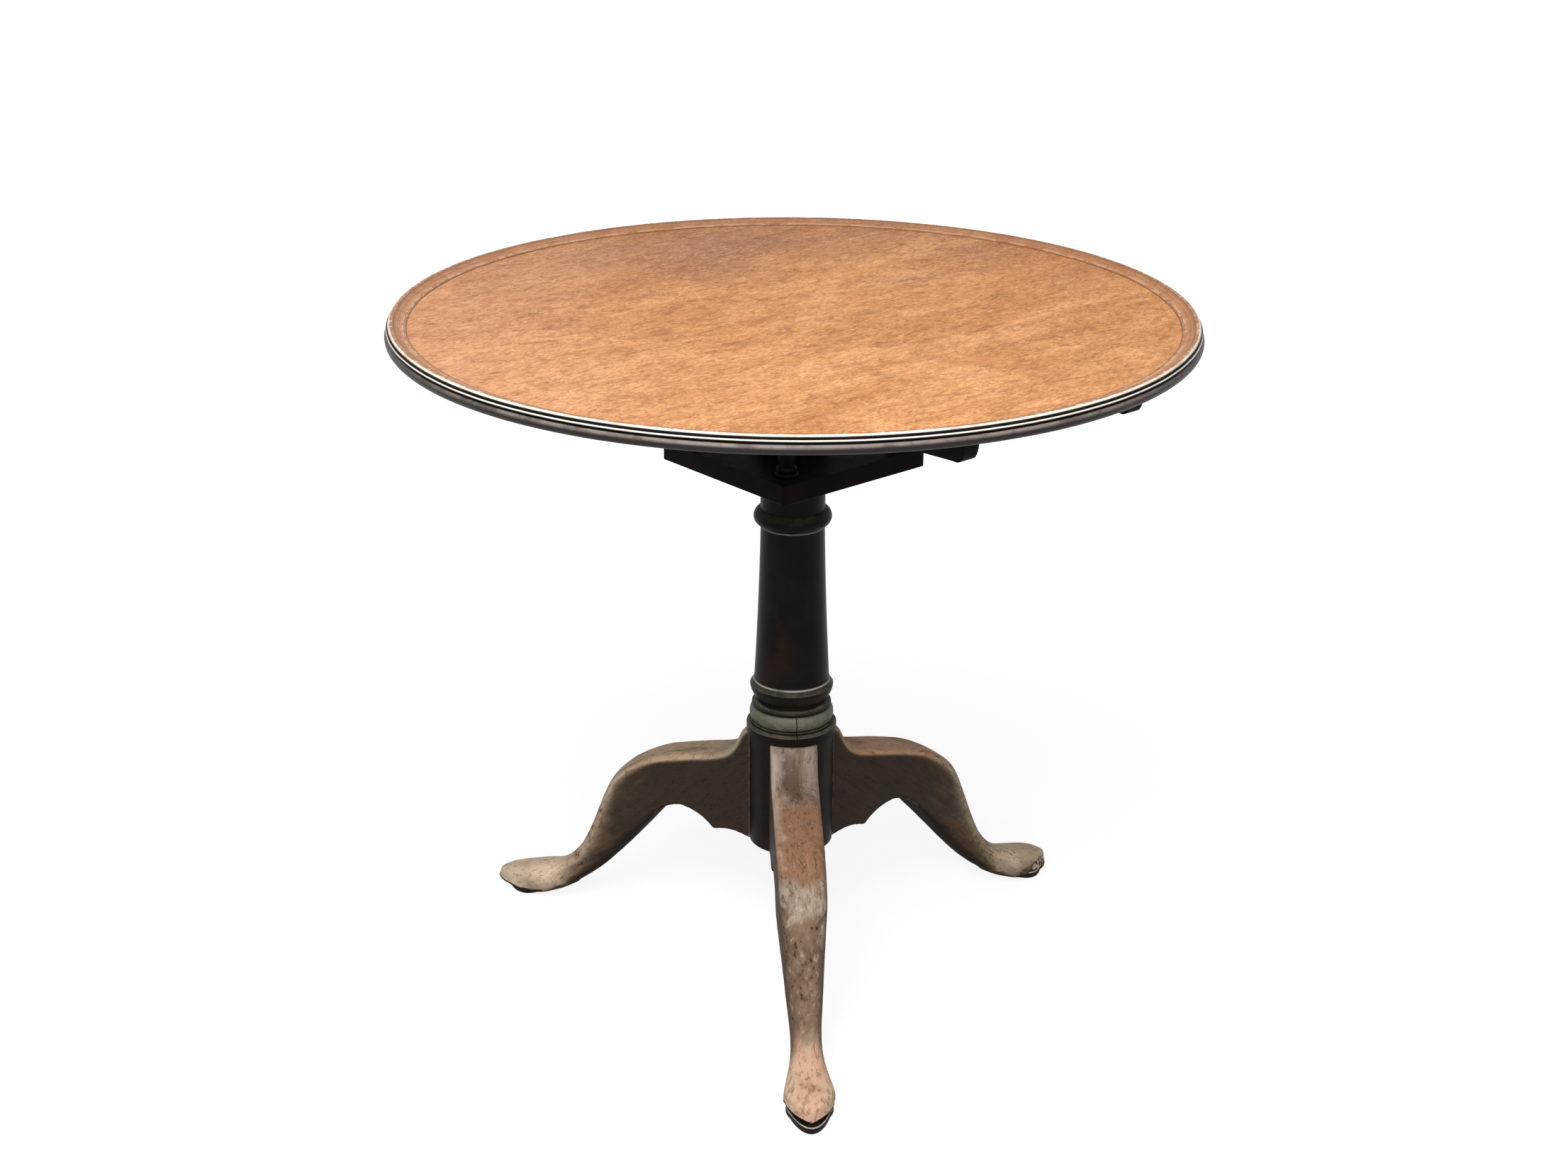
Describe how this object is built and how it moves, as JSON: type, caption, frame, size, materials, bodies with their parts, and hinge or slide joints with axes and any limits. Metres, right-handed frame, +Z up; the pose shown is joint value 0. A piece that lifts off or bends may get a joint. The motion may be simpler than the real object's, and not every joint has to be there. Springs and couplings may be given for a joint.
{
  "type": "tray top tea table",
  "caption": "Round tray top tea table on a turned column and cabriole tripod: the dished top turns on a birdcage and tips up on wooden pins, held level by a brass spring catch.",
  "frame": {"origin": "on the floor under the column's axis, at the middle of the table's plan", "axes": "+Z up; X along the axis on which the top tips; -Y on the pivots' side, +Y on the catch's side"},
  "size_m": [0.8, 0.8, 0.7194],
  "materials": {
    "mahogany_top": "waxed and worn mahogany board",
    "mahogany_legs": "rubbed mahogany with worn feet",
    "mahogany_dark": "dark waxed mahogany",
    "brass": "dull old brass",
    "spring_steel": "blued spring steel",
    "iron": "dark iron screws"
  },
  "bodies": {
    "stand": {"column": "mahogany_dark", "leg_front": "mahogany_legs", "leg_right": "mahogany_legs", "leg_left": "mahogany_legs", "cage_collar": "mahogany_dark", "cage_wedge": "mahogany_dark"},
    "birdcage": {"cage_lower_plate": "mahogany_dark", "cage_upper_plate": "mahogany_dark", "baluster_front_left": "mahogany_dark", "baluster_front_right": "mahogany_dark", "baluster_rear_left": "mahogany_dark", "baluster_rear_right": "mahogany_dark", "pivot_pin_right": "mahogany_dark", "pivot_pin_left": "mahogany_dark", "catch_keeper": "brass", "keeper_screws": "brass"},
    "top": {"tray_top": "mahogany_top", "bearer_right": "mahogany_dark", "bearer_left": "mahogany_dark", "bearer_screws": "iron", "catch_case": "brass", "catch_spring": "spring_steel", "catch_screws": "brass"},
    "catch": {"catch_bolt": "brass", "catch_knob": "brass"}
  },
  "joints": [
    {"name": "cage_swivel", "type": "hinge", "parent": "stand", "child": "birdcage", "pos_m": [0, 0, 0.5613], "axis": [0, 0, 1], "continuous": true},
    {"name": "top_tilt", "type": "hinge", "parent": "birdcage", "child": "top", "pos_m": [0, -0.087, 0.69115], "axis": [1, 0, 0], "range_deg": [0, 90]},
    {"name": "catch_draw", "type": "slide", "parent": "top", "child": "catch", "axis": [0, 1, 0], "range_m": [0, 0.009], "stiffness_N_per_m": 400, "springref_m": -0.004, "deforming": ["catch_spring"]}
  ]
}
